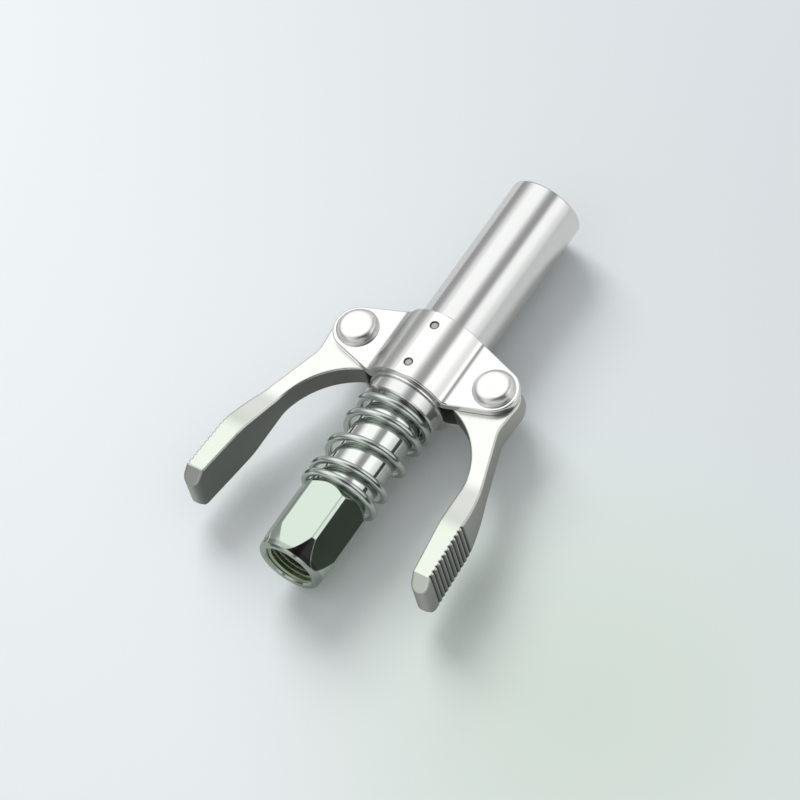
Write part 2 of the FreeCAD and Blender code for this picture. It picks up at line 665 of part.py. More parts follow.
# Jaw: one quarter of a turned collet, hooked into the stem's heel groove
def makeJaw(number):
    body = newBody(f"jaw_{number}")
    gap = "JawGrooveClearance"
    coneRise = "(MouthDiameter - ThroatDiameter) / 2 / NoseConeLength"
    coneFoot = f"{throatEnd} + JawConeSetback"
    lipRear = "OverallLength - LipMouthBevel - LipLength"
    boreJaw = "JawBoreDiameter / 2"
    turned(body, "Quarter", [
        (f"HeelGrooveFloorDiameter / 2 + {gap}", f"HeelGrooveStation + {gap}"),
        ("JawHeelDiameter / 2", f"HeelGrooveStation + {gap}"),
        ("JawHeelDiameter / 2", "JawShoulderStation"),
        ("JawNeckDiameter / 2", "JawNeckStation"),
        ("JawNeckDiameter / 2", f"{coneFoot} - JawNeckRamp"),
        (f"ThroatDiameter / 2 - JawConeClearance + JawConeSetback * {coneRise}", coneFoot),
        ("MouthDiameter / 2 - JawConeClearance", "OverallLength", "JawEdgeRound"),
        ("LipMouthDiameter / 2", "OverallLength"),
        ("LipDiameter / 2", "OverallLength - LipMouthBevel"),
        ("LipDiameter / 2", lipRear),
        (boreJaw, f"{lipRear} - LipCatchLength"),
        (boreJaw, f"StemEndStation + {gap}"),
        (f"HeelRimDiameter / 2 + {gap}", f"StemEndStation + {gap}"),
        (f"HeelRimDiameter / 2 + {gap}", f"{heelFront} - {gap}"),
        (f"HeelGrooveFloorDiameter / 2 + {gap}", f"{heelFront} - {gap}")],
        angle="JawAngle", Midplane=True)
    ringHalf = "JawRingSection * 0.75"
    turned(body, "RingGroove", [
        ("JawRingFloorDiameter / 2", f"JawRingStation - {ringHalf}"),
        ("JawHeelDiameter", f"JawRingStation - {ringHalf}"),
        ("JawHeelDiameter", f"JawRingStation + {ringHalf}"),
        ("JawRingFloorDiameter / 2", f"JawRingStation + {ringHalf}")], kind="Groove")
    body.Placement = Placement(Vector(), Rotation(Vector(0, 1, 0), 45 - 90 * number))


# Seal carrier: sliding tube with the soft seal in its front and a ring seal round its tail
def makeSealCarrier():
    body = newBody("seal_carrier")
    tailR = f"({chamberR} - CarrierTailClearance)"
    front = "(OverallLength - CarrierFrontSetback)"
    seatR = "SealDiameter / 2 + SealSeatClearance"
    ringFloor = f"({chamberR} - RingSection - RingGrip)"
    turned(body, "Tube", [
        ("CarrierPassageDiameter / 2", "CarrierTailStation"),
        (tailR, "CarrierTailStation"),
        (tailR, "RingGrooveStation"),
        (ringFloor, "RingGrooveStation"),
        (ringFloor, "RingGrooveStation + RingGrooveWidth"),
        (tailR, "RingGrooveStation + RingGrooveWidth"),
        (tailR, "CarrierHeadStation"),
        ("CarrierDiameter / 2", "CarrierHeadStation"),
        ("CarrierDiameter / 2", front, "CarrierEdge"),
        (seatR, front),
        (seatR, f"{front} - SealSeatDepth"),
        ("CarrierPassageDiameter / 2", f"{front} - SealSeatDepth")])
    seal = newBody("nose_seal")
    turned(seal, "Seal", [
        ("CarrierPassageDiameter / 2", f"{front} - SealSeatDepth + SealSeatClearance"),
        ("SealDiameter / 2", f"{front} - SealSeatDepth + SealSeatClearance"),
        ("SealDiameter / 2", f"{front} + SealProud", "SealLipRound"),
        ("CarrierPassageDiameter / 2", f"{front} + SealProud", "SealLipRound")])


def makeRing(label, mean, section, station):
    """An O-ring about the coupler's axis."""
    ring = doc.addObject("Part::Torus", label)
    ring.Label = label
    ring.setExpression("Radius1", bound(mean))
    ring.setExpression("Radius2", bound(section))
    ring.Placement = Placement(Vector(), Rotation(Vector(1, 0, 0), 90))
    place(ring, y=station)


def makeRetainer():
    body = newBody("check_retainer")
    outerR = f"{chamberR} - RetainerFit"
    turned(body, "Disc", [
        ("RetainerHoleDiameter / 2", "RetainerStation"), (outerR, "RetainerStation"),
        (outerR, "RetainerStation + RetainerThickness"),
        ("RetainerHoleDiameter / 2", "RetainerStation + RetainerThickness")])


def makeSnapRing():
    body = newBody("snap_ring")
    inner = f"{sleeveR} - SnapRingDepth + SnapRingFit"
    turned(body, "Ring", [
        (inner, "YokeRearStation - SnapRingThickness - SnapRingFit / 2"),
        (f"{sleeveR} + SnapRingProud", "YokeRearStation - SnapRingThickness - SnapRingFit / 2"),
        (f"{sleeveR} + SnapRingProud", "YokeRearStation - SnapRingFit / 2"),
        (inner, "YokeRearStation - SnapRingFit / 2")],
        angle="360 - SnapRingGapAngle", Midplane=True)
    body.Placement = Placement(Vector(), Rotation(Vector(0, 1, 0), -90))


def makeBall():
    ball = doc.addObject("Part::Sphere", "check_ball")
    ball.Label = "check_ball"
    ball.setExpression("Radius", bound("BallDiameter / 2"))
    place(ball, y="SeatStation + sqrt(BallDiameter ^ 2 - PassageDiameter ^ 2) / 2")


def makeLockPins():
    pins = []
    height = f"({crownR} - CrownFlatDepth - LockPinRecess - {boreR} - LockPinFit)"
    for number, (station, side) in enumerate((s, d) for s in lockPinStations for d in (0, 180)):
        shank = doc.addObject("Part::Cylinder", f"LockPinShank{number}")
        shank.setExpression("Radius", bound("LockPinDiameter / 2"))
        shank.setExpression("Height", bound(f"{height} - LockPinBevel"))
        bevel = doc.addObject("Part::Cone", f"LockPinBevel{number}")
        bevel.setExpression("Radius1", bound("LockPinDiameter / 2"))
        bevel.setExpression("Radius2", bound("LockPinDiameter / 2 - LockPinBevel"))
        bevel.setExpression("Height", bound("LockPinBevel"))
        place(bevel, z=f"{height} - LockPinBevel")
        pin = doc.addObject("Part::MultiFuse", f"LockPin{number}")
        pin.Shapes = [shank, bevel]
        pin.Placement = Placement(Vector(), Rotation(Vector(1, 0, 0), side))
        sign = "" if side == 0 else "-"
        place(pin, y=station, z=f"{sign}({boreR} + LockPinFit)")
        pins.append(pin)
    group = doc.addObject("Part::Compound", "yoke_lock_pins")
    group.Label = "yoke_lock_pins"
    group.Links = pins


makeInletBody()
makeSleeve()
makeYokePlate("yoke_plate_top", 0)
makeYokePlate("yoke_plate_bottom", 180)
makeLockPins()
makeSnapRing()
for side, sign in (("left", "-"), ("right", "")):
    makeRivet(f"rivet_{side}", sign)
    makeLever(f"lever_{side}", sign)
makeSprings()
for number in (1, 2, 3, 4):
    makeJaw(number)
makeRing("jaw_ring", "JawRingFloorDiameter / 2 + JawRingSlack + JawRingSection / 2",
         "JawRingSection / 2", "JawRingStation")
makeSealCarrier()
makeRing("carrier_o_ring", f"{chamberR} - RingGrip - RingSection / 2", "RingSection / 2",
         "RingGrooveStation + RingGrooveWidth / 2")
makeBall()
makeRetainer()
doc.recompute()

subparts = [item for item in doc.Objects if item.Label in (
    "inlet_body", "sleeve", "yoke_plate_top", "yoke_plate_bottom", "yoke_lock_pins", "snap_ring",
    "rivet_left", "rivet_right", "lever_left", "lever_right", "return_spring", "jaw_1", "jaw_2",
    "jaw_3", "jaw_4", "jaw_ring", "nose_seal", "seal_carrier", "carrier_o_ring", "seal_spring",
    "check_ball", "check_spring", "check_retainer")]

for item in doc.Objects:
    if "Invalid" in item.State or "Error" in item.State:
        raise RuntimeError(f"{item.Name} did not rebuild: {item.State}")
for item in subparts:
    if item.Shape.isNull() or not item.Shape.isValid():
        raise RuntimeError(f"{item.Label} has no valid shape")

os.makedirs("parts", exist_ok=True)
for item in subparts:
    item.Shape.exportStep(f"parts/{item.Label}.step")
    box = item.Shape.BoundBox
    print(f"{item.Label}: {len(item.Shape.Solids)} solid(s), {item.Shape.Volume:.1f} mm3, "
          f"{box.XLength:.2f} x {box.YLength:.2f} x {box.ZLength:.2f}")
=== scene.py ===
import bpy
import numpy as np
from mathutils import Matrix, Vector


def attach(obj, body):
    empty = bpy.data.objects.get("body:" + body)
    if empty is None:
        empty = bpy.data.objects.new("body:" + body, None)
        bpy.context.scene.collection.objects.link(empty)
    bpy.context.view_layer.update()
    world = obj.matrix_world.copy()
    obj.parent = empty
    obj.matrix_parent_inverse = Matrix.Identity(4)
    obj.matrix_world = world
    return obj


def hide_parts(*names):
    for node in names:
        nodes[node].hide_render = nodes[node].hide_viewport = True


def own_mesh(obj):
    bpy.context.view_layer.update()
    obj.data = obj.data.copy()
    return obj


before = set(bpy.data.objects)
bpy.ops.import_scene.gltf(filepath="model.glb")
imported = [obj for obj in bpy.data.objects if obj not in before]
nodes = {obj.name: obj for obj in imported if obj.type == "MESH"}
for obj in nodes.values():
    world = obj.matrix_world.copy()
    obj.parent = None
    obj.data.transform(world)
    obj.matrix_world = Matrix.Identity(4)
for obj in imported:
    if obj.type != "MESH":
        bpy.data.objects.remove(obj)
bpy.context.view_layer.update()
scene = bpy.context.scene
mm = 0.001  # sizes below are in millimetres unless a note says otherwise
print("frame loaded with", len(nodes), "nodes")


def linearColour(hexText):
    # sRGB hex text to linear red, green, blue and alpha
    parts = [int(hexText[i:i + 2], 16) / 255 for i in (1, 3, 5)]
    return [c / 12.92 if c <= 0.04045 else ((c + 0.055) / 1.055) ** 2.4 for c in parts] + [1.0]


def addNode(tree, kind, settings=None, values=None, links=None):
    # one node with its properties, its socket values and the sockets that feed it
    node = tree.nodes.new(kind)
    for key, value in (settings or {}).items():
        setattr(node, key, value)
    for key, value in (values or {}).items():
        node.inputs[key].default_value = value
    for key, source in (links or {}).items():
        tree.links.new(source, node.inputs[key])
    return node


def newMaterial(name, colour, metallic, roughness):
    # a principled material and its tree, with the plain values set on the shader's own sockets
    material = bpy.data.materials.new(name)
    material.use_nodes = True
    tree = material.node_tree
    shader = tree.nodes["Principled BSDF"]
    shader.inputs["Base Color"].default_value = linearColour(colour)
    shader.inputs["Metallic"].default_value = metallic
    shader.inputs["Roughness"].default_value = roughness
    return material, tree, shader


# Bright nickel over polished steel: nearly a mirror, with fine drawing marks that run one way.
# "along" is the axis of the marks: 1 along the coupler, 2 upright
platedFinish = {
    "inletPlating": {"colour": "#dde1dd", "roughness": 0.08, "along": 1, "marks": 0.10, "streak": 0.05,
                     # the hexagon's green tint is a painted reflection, and the bore's darker colour below is
                     # painted shade
                     "edge": 0.22, "hexagon": {"end": [15.5, 17.5], "colour": "#c3d0c4"},
                     "mouth": {"end": [1.1, 1.5], "colour": "#a2ada4"},
                     "dullShade": {"radius": [4.93, 5.02], "colour": "#a6b198", "roughness": 0.4}},
    "sleevePlating": {"colour": "#dfe0df", "roughness": 0.19, "along": 1, "marks": 0.16, "streak": 0.07,
                      "edge": 0.12},
    "yokePlating": {"colour": "#eaeae9", "roughness": 0.17, "along": 1, "marks": 0.16, "streak": 0.06,
                    "edge": 0.12,
                    # painted shade: the crown's left flank and the faces between the plates take this darker
                    # colour
                    "dullShade": {"side": -1, "from": [1.5, 6.5], "halfWidth": [10.2, 11.6],
                             "lean": [0.62, 0.96], "inward": -0.5, "colour": "#b9bab9", "roughness": 0.52}},
    "rivetPlating": {"colour": "#efefee", "roughness": 0.32, "along": 2, "marks": 0.10, "streak": 0.04,
                     "edge": 0.5},
    "wirePlating": {"colour": "#d0d8d2", "roughness": 0.22, "along": 1, "marks": 0.08, "streak": 0.04,
                    "edge": 0.12},
}

# Marks in a millimetre across and along, and patches: coarser than the real ones so that they show
platedMarks = {"across": 6.0, "along": 0.08, "patches": 0.26, "depth": 0.004}


def inletColour(tree, finish, place):
    # colour by place: the tapped bore is rougher inside and darker as painted shade, the mouth's rim greyer,
    # the hexagon darker and faintly green as a painted reflection, and the stem plain. Gives the colour, and
    # 0 in the bore to 1 outside it
    spot = addNode(tree, "ShaderNodeSeparateXYZ", links={"Vector": place})
    start, end = finish["hexagon"]["end"]
    stem = addNode(tree, "ShaderNodeMapRange", values={"From Min": start * mm, "From Max": end * mm},
                   links={"Value": spot.outputs["Y"]})
    start, end = finish["mouth"]["end"]
    front = addNode(tree, "ShaderNodeMapRange", values={"From Min": start * mm, "From Max": end * mm},
                    links={"Value": spot.outputs["Y"]})
    tone = addNode(tree, "ShaderNodeMix", {"data_type": "RGBA"},
                   {"A": linearColour(finish["mouth"]["colour"]),
                    "B": linearColour(finish["hexagon"]["colour"])}, {"Factor": front.outputs["Result"]})
    body = addNode(tree, "ShaderNodeMix", {"data_type": "RGBA"}, {"B": linearColour(finish["colour"])},
                   {"Factor": stem.outputs["Result"], "A": tone.outputs["Result"]})
    near, far = finish["dullShade"]["radius"]
    flat = addNode(tree, "ShaderNodeVectorMath", {"operation": "MULTIPLY"}, {1: [1, 0, 1]}, {0: place})
    radius = addNode(tree, "ShaderNodeVectorMath", {"operation": "LENGTH"}, links={0: flat.outputs["Vector"]})
    outer = addNode(tree, "ShaderNodeMapRange", values={"From Min": near * mm, "From Max": far * mm},
                    links={"Value": radius.outputs["Value"]})
    tint = addNode(tree, "ShaderNodeMix", {"data_type": "RGBA"},
                   {"A": linearColour(finish["dullShade"]["colour"])},
                   {"Factor": outer.outputs["Result"], "B": body.outputs["Result"]})
    return tint.outputs["Result"], outer.outputs["Result"]


def yokeColour(tree, finish, place):
    # painted shade: the crown's left flank, steep, off the axis and short of the ears, is darker and rougher
    # than its top; the right flank stays bright.
    # Gives the colour, and 0 on the shaded faces to 1 on the rest
    dullShade = finish["dullShade"]
    spot = addNode(tree, "ShaderNodeSeparateXYZ", links={"Vector": place})
    off = addNode(tree, "ShaderNodeMath", {"operation": "MULTIPLY"}, {1: dullShade["side"]},
                  {0: spot.outputs["X"]})
    other = addNode(tree, "ShaderNodeMapRange", {"interpolation_type": "SMOOTHSTEP"},
                    {"From Min": dullShade["from"][0] * mm, "From Max": dullShade["from"][1] * mm,
                     "To Min": 1.0, "To Max": 0.0}, {"Value": off.outputs["Value"]})
    beyond = addNode(tree, "ShaderNodeMapRange",
                     values={"From Min": dullShade["halfWidth"][0] * mm, "From Max": dullShade["halfWidth"][1] * mm},
                     links={"Value": off.outputs["Value"]})
    lean = addNode(tree, "ShaderNodeSeparateXYZ",
                   links={"Vector": addNode(tree, "ShaderNodeTexCoord").outputs["Normal"]})
    flat = addNode(tree, "ShaderNodeMath", {"operation": "ABSOLUTE"}, links={0: lean.outputs["Z"]})
    level = addNode(tree, "ShaderNodeMapRange", {"interpolation_type": "SMOOTHSTEP"},
                    {"From Min": dullShade["lean"][0], "From Max": dullShade["lean"][1]},
                    {"Value": flat.outputs["Value"]})
    raised = addNode(tree, "ShaderNodeMath", {"operation": "MAXIMUM"},
                     links={0: beyond.outputs["Result"], 1: level.outputs["Result"]})
    polished = addNode(tree, "ShaderNodeMath", {"operation": "MAXIMUM"},
                       links={0: raised.outputs["Value"], 1: other.outputs["Result"]})
    # painted shade: faces that look in between the two plates are darker and rougher as well: height times
    # lean is below zero there
    facing = addNode(tree, "ShaderNodeMath", {"operation": "MULTIPLY"},
                     links={0: spot.outputs["Z"], 1: lean.outputs["Z"]})
    outward = addNode(tree, "ShaderNodeMath", {"operation": "GREATER_THAN"}, {1: dullShade["inward"] * mm},
                      {0: facing.outputs["Value"]})
    bright = addNode(tree, "ShaderNodeMath", {"operation": "MINIMUM"},
                     links={0: polished.outputs["Value"], 1: outward.outputs["Value"]})
    tint = addNode(tree, "ShaderNodeMix", {"data_type": "RGBA"},
                   {"A": linearColour(dullShade["colour"]), "B": linearColour(finish["colour"])},
                   {"Factor": bright.outputs["Value"]})
    return tint.outputs["Result"], bright.outputs["Value"]


def platedMetal(name):
    # noise stretched along one axis tilts the surface by hairline marks, and wide patches of noise
    # sway the roughness
    finish = platedFinish[name]
    material, tree, shader = newMaterial(name, finish["colour"], 1.0, finish["roughness"])
    place = addNode(tree, "ShaderNodeTexCoord").outputs["Object"]
    scales = [platedMarks["across"] / mm] * 3
    scales[finish["along"]] = platedMarks["along"] / mm
    stretch = addNode(tree, "ShaderNodeMapping", values={"Scale": scales}, links={"Vector": place})
    marks = addNode(tree, "ShaderNodeTexNoise", values={"Scale": 1.0, "Detail": 3.0},
                    links={"Vector": stretch.outputs["Vector"]})
    patches = addNode(tree, "ShaderNodeTexNoise",
                      values={"Scale": platedMarks["patches"] / mm, "Detail": 2.0}, links={"Vector": place})
    sway = addNode(tree, "ShaderNodeMath", {"operation": "MULTIPLY_ADD"},
                   {1: finish["streak"], 2: finish["roughness"] - finish["streak"] / 2},
                   {0: patches.outputs["Fac"]})
    colourByPlace = {"inletPlating": inletColour, "yokePlating": yokeColour}.get(name)
    if colourByPlace:
        colour, polished = colourByPlace(tree, finish, place)
        tree.links.new(colour, shader.inputs["Base Color"])
        sway = addNode(tree, "ShaderNodeMapRange", values={"To Min": finish["dullShade"]["roughness"]},
                       links={"Value": polished, "To Max": sway.outputs["Value"]})
    tree.links.new(sway.outputs[0], shader.inputs["Roughness"])
    bump = addNode(tree, "ShaderNodeBump",
                   values={"Strength": finish["marks"], "Distance": platedMarks["depth"] * mm},
                   links={"Height": marks.outputs["Fac"]})
    # edges catch the light as if broken by the tumbling before the plating
    edge = addNode(tree, "ShaderNodeBevel", {"samples": 6}, {"Radius": finish["edge"] * mm})
    tree.links.new(edge.outputs["Normal"], bump.inputs["Normal"])
    tree.links.new(bump.outputs["Normal"], shader.inputs["Normal"])
    return material


# Forged handles: tops tumbled bright, outer sides and ends a little greyer; painted shade on the inner sides,
# the left grip's nose and the roots of the teeth, and a painted green reflection on the grips' tops
handleFinish = {"top": "#e9ece6", "topLean": [0.25, 0.75], "topRoughness": 0.27, "sideRoughness": 0.45,
                "grip": "#dce3d8", "gripEnd": [19.0, 24.0], "leftNoseShade": "#b0b4ae", "leftNoseShadeEnd": [7.9, 8.5],
                "side": "#adafaa", "insideShade": "#868984", "insideTurn": [-0.55, 0.05], "edge": 0.35,
                "grainSize": 0.35, "grainDepth": 0.01, "grain": 0.12, "toothShade": "#141c17", "toothShadeReach": 1.1,
                "toothShadeRange": [0.68, 0.98]}


def handleSteel():
    # colour by lean and place: tops and sides part where the surface turns steep, and sides that face
    # the coupler's axis get painted shade. Fine grain from noise, and painted shade where the surface is
    # hemmed in
    finish = handleFinish
    material, tree, shader = newMaterial("handleSteel", finish["top"], 1.0, finish["topRoughness"])
    place = addNode(tree, "ShaderNodeTexCoord")
    lean = addNode(tree, "ShaderNodeSeparateXYZ", links={"Vector": place.outputs["Normal"]})
    steep = addNode(tree, "ShaderNodeMath", {"operation": "ABSOLUTE"}, links={0: lean.outputs["Z"]})
    mask = addNode(tree, "ShaderNodeMapRange",
                   values={"From Min": finish["topLean"][0], "From Max": finish["topLean"][1]},
                   links={"Value": steep.outputs["Value"]})
    grain = addNode(tree, "ShaderNodeTexNoise", values={"Scale": 1000 / finish["grainSize"], "Detail": 3.0},
                    links={"Vector": place.outputs["Object"]})
    # painted shade on the sides that face the coupler's axis: a side faces it where its normal and its place
    # lie on opposite sides of it
    spot = addNode(tree, "ShaderNodeSeparateXYZ", links={"Vector": place.outputs["Object"]})
    hand = addNode(tree, "ShaderNodeMath", {"operation": "SIGN"}, links={0: spot.outputs["X"]})
    outward = addNode(tree, "ShaderNodeMath", {"operation": "MULTIPLY"},
                      links={0: lean.outputs["X"], 1: hand.outputs["Value"]})
    outer = addNode(tree, "ShaderNodeMapRange",
                    values={"From Min": finish["insideTurn"][0], "From Max": finish["insideTurn"][1]},
                    links={"Value": outward.outputs["Value"]})
    flank = addNode(tree, "ShaderNodeMix", {"data_type": "RGBA"},
                    {"A": linearColour(finish["insideShade"]), "B": linearColour(finish["side"])},
                    {"Factor": outer.outputs["Result"]})
    # painted reflection: the grips' tops get a faint green cast and are a little darker than the necks
    neck = addNode(tree, "ShaderNodeMapRange",
                   values={"From Min": finish["gripEnd"][0] * mm, "From Max": finish["gripEnd"][1] * mm},
                   links={"Value": spot.outputs["Y"]})
    # painted shade: the left grip's top is darker at its nose
    right = addNode(tree, "ShaderNodeMapRange", values={"From Min": -1.0},
                    links={"Value": hand.outputs["Value"]})
    behind = addNode(tree, "ShaderNodeMapRange",
                     values={"From Min": finish["leftNoseShadeEnd"][0] * mm,
                             "From Max": finish["leftNoseShadeEnd"][1] * mm},
                     links={"Value": spot.outputs["Y"]})
    unshadedNose = addNode(tree, "ShaderNodeMath", {"operation": "MAXIMUM"},
                    links={0: right.outputs["Result"], 1: behind.outputs["Result"]})
    grip = addNode(tree, "ShaderNodeMix", {"data_type": "RGBA"},
                   {"A": linearColour(finish["leftNoseShade"]), "B": linearColour(finish["grip"])},
                   {"Factor": unshadedNose.outputs["Value"]})
    top = addNode(tree, "ShaderNodeMix", {"data_type": "RGBA"}, {"B": linearColour(finish["top"])},
                  {"Factor": neck.outputs["Result"], "A": grip.outputs["Result"]})
    colour = addNode(tree, "ShaderNodeMix", {"data_type": "RGBA"},
                     links={"Factor": mask.outputs["Result"], "A": flank.outputs["Result"],
                            "B": top.outputs["Result"]})
    # painted shade: the roots of the teeth, where ambient occlusion finds the surface hemmed in, are darkened
    # towards a near-black green
    reach = addNode(tree, "ShaderNodeAmbientOcclusion", {"only_local": True, "samples": 8},
                    {"Distance": finish["toothShadeReach"] * mm})
    unshadedShare = addNode(tree, "ShaderNodeMapRange",
                    values={"From Min": finish["toothShadeRange"][0], "From Max": finish["toothShadeRange"][1]},
                    links={"Value": reach.outputs["AO"]})
    toothShaded = addNode(tree, "ShaderNodeMix", {"data_type": "RGBA"}, {"A": linearColour(finish["toothShade"])},
                   {"Factor": unshadedShare.outputs["Result"], "B": colour.outputs["Result"]})
    tree.links.new(toothShaded.outputs["Result"], shader.inputs["Base Color"])
    rough = addNode(tree, "ShaderNodeMapRange",
                    values={"To Min": finish["sideRoughness"], "To Max": finish["topRoughness"]},
                    links={"Value": mask.outputs["Result"]})
    tree.links.new(rough.outputs["Result"], shader.inputs["Roughness"])
    bump = addNode(tree, "ShaderNodeBump",
                   values={"Strength": finish["grain"], "Distance": finish["grainDepth"] * mm},
                   links={"Height": grain.outputs["Fac"]})
    edge = addNode(tree, "ShaderNodeBevel", {"samples": 6}, {"Radius": finish["edge"] * mm})
    tree.links.new(edge.outputs["Normal"], bump.inputs["Normal"])
    tree.links.new(bump.outputs["Normal"], shader.inputs["Normal"])
    return material


# Small inner pieces. Turned steel and brass glint in rings round the axis, hardened steel is greyer,
# and the moulded rings and the seal are matt
innerFinish = {
    "turnedSteel": {"colour": "#a9aaa8", "metallic": 1.0, "roughness": 0.3, "ring": 0.2},
    "hardenedSteel": {"colour": "#8b8c8a", "metallic": 1.0, "roughness": 0.32, "ring": 0.25},
    "turnedBrass": {"colour": "#c9a963", "metallic": 1.0, "roughness": 0.28, "ring": 0.25},
    "nitrileRubber": {"colour": "#1b1b1b", "metallic": 0.0, "roughness": 0.55, "ring": 0.4},
    "sealPolymer": {"colour": "#7a5a3c", "metallic": 0.0, "roughness": 0.5, "ring": 0.4},
}

# Lathe rings in a millimetre along the axis, and how often they change across it
latheMarks = {"along": 9.0, "across": 0.3, "depth": 0.008}


def innerMaterial(name):
    # noise squeezed along the axis into lathe rings on metals, and a slight mottle on the soft ones
    finish = innerFinish[name]
    material, tree, shader = newMaterial(name, finish["colour"], finish["metallic"], finish["roughness"])
    place = addNode(tree, "ShaderNodeTexCoord").outputs["Object"]
    scales = [latheMarks["across"] / mm, latheMarks["along"] / mm, latheMarks["across"] / mm]
    squeeze = addNode(tree, "ShaderNodeMapping", values={"Scale": scales}, links={"Vector": place})
    rings = addNode(tree, "ShaderNodeTexNoise", values={"Scale": 1.0, "Detail": 2.0},
                    links={"Vector": squeeze.outputs["Vector"]})
    bump = addNode(tree, "ShaderNodeBump",
                   values={"Strength": finish["ring"], "Distance": latheMarks["depth"] * mm},
                   links={"Height": rings.outputs["Fac"]})
    tree.links.new(bump.outputs["Normal"], shader.inputs["Normal"])
    return material


def gridMesh(name, points, closedRound=True):
    # points[i, j] is a surface of two parameters: rows along, columns round, joined into quads;
    # a closed tube gets a face over each end
    rows, columns = points.shape[:2]
    last = columns if closedRound else columns - 1
    i, j = np.meshgrid(np.arange(rows - 1), np.arange(last), indexing="ij")
    nextJ = (j + 1) % columns
    corners = [i * columns + j, i * columns + nextJ, (i + 1) * columns + nextJ, (i + 1) * columns + j]
    faces = np.stack(corners, -1).reshape(-1, 4).tolist()
    if closedRound:
        faces += [list(range(columns))[::-1], list(range((rows - 1) * columns, rows * columns))]
    mesh = bpy.data.meshes.new(name)
    mesh.from_pydata(points.reshape(-1, 3), [], faces)
    mesh.shade_smooth()
    mesh.update()
    piece = bpy.data.objects.new(name, mesh)
    scene.collection.objects.link(piece)
    return piece


# Springs: same wire paths as the solid ones, with rounded cut ends. Angles in degrees
springCoils = {
    "springCoil": {"node": "return_spring", "wire": 1.5, "meanRadius": 7.15, "start": 16.45, "end": 36.84,
                   "turns": 5, "closing": 0.6, "startAngle": -118, "endRound": 0.25, "aroundWire": 28,
                   "alongWire": 520, "joint": "sleeve_slide", "fixedEnd": 16.2, "squeezed": 0.836},
    "sealSpringCoil": {"node": "seal_spring", "wire": 0.35, "meanRadius": 2.275, "start": 58.995,
                       "end": 63.205, "turns": 5, "closing": 0.6, "startAngle": 0, "endRound": 0.1,
                       "aroundWire": 16, "alongWire": 320, "joint": "seal_slide", "fixedEnd": 58.8,
                       "squeezed": 0.67},
    "checkSpringCoil": {"node": "check_spring", "wire": 0.35, "meanRadius": 1.5, "start": 53.697,
                        "end": 57.605, "turns": 5, "closing": 0.6, "startAngle": 0, "endRound": 0.1,
                        "aroundWire": 16, "alongWire": 320, "joint": "check_lift", "fixedEnd": 57.79,
                        "squeezed": 0.755},
}


def makeSpring(name):
    # centre line: angle falls evenly, station swells between the ends so that the end turns close up
    s = springCoils[name]
    u = np.linspace(0, 1, s["alongWire"])
    angle = np.radians(s["startAngle"]) - 2 * np.pi * s["turns"] * u
    swell = u - s["closing"] / (2 * np.pi) * np.sin(2 * np.pi * u)
    length = s["end"] - s["start"]
    centre = np.stack([s["meanRadius"] * np.cos(angle), s["start"] + length * swell,
                       s["meanRadius"] * np.sin(angle)], -1)
    outward = np.stack([np.cos(angle), np.zeros_like(u), np.sin(angle)], -1)
    tangent = np.gradient(centre, axis=0)
    tangent /= np.linalg.norm(tangent, axis=1, keepdims=True)
    across = np.cross(tangent, outward)
    # wire radius is full along the run and falls along a quarter round at each cut end
    travel = np.concatenate([[0], np.cumsum(np.linalg.norm(np.diff(centre, axis=0), axis=1))])
    fromEnd = np.minimum(travel, travel[-1] - travel)
    inset = np.clip(1 - fromEnd / s["endRound"], 0, 1)
    radius = s["wire"] / 2 - s["endRound"] * (1 - np.sqrt(1 - inset ** 2))
    v = np.linspace(0, 2 * np.pi, s["aroundWire"], endpoint=False)
    ring = outward[:, None] * np.cos(v)[None, :, None] + across[:, None] * np.sin(v)[None, :, None]
    piece = gridMesh(name, (centre[:, None] + ring * radius[:, None, None]) * mm)
    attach(piece, "core")
    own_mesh(piece)
    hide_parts(s["node"])
    return piece


# Inlet thread: ridges of a pipe thread that stand in from the bore's wall
inletThread = {"rootRadius": 4.95, "crestRadius": 4.42, "pitch": 0.907, "start": 0.7, "end": 9.6,
               "flat": 0.12, "perTurn": 96}


def makeInletThread():
    # ridge section: root, crest, crest, root over one pitch, carried along a right-hand helix
    t = inletThread
    turns = (t["end"] - t["start"]) / t["pitch"]
    u = np.linspace(0, 1, int(turns * t["perTurn"]))
    angle = -2 * np.pi * turns * u
    station = t["start"] + (t["end"] - t["start"]) * u
    # the ridge runs out over the first and last third of a turn
    height = np.clip(np.minimum(u, 1 - u) * turns * 3, 0, 1)
    acrossRidge = np.array([-0.5, -t["flat"], t["flat"], 0.5]) * t["pitch"]
    lift = np.array([0, 1, 1, 0])
    radius = t["rootRadius"] - (t["rootRadius"] - t["crestRadius"]) * lift[None] * height[:, None]
    points = np.stack([radius * np.cos(angle)[:, None], station[:, None] + acrossRidge[None],
                       radius * np.sin(angle)[:, None]], -1) * mm
    piece = gridMesh("inletThread", points)
    piece.data.shade_flat()
    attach(piece, "core")
    return piece


springs = [makeSpring(name) for name in springCoils]
thread = makeInletThread()
print("new pieces:", len(springs), "springs and the inlet thread")

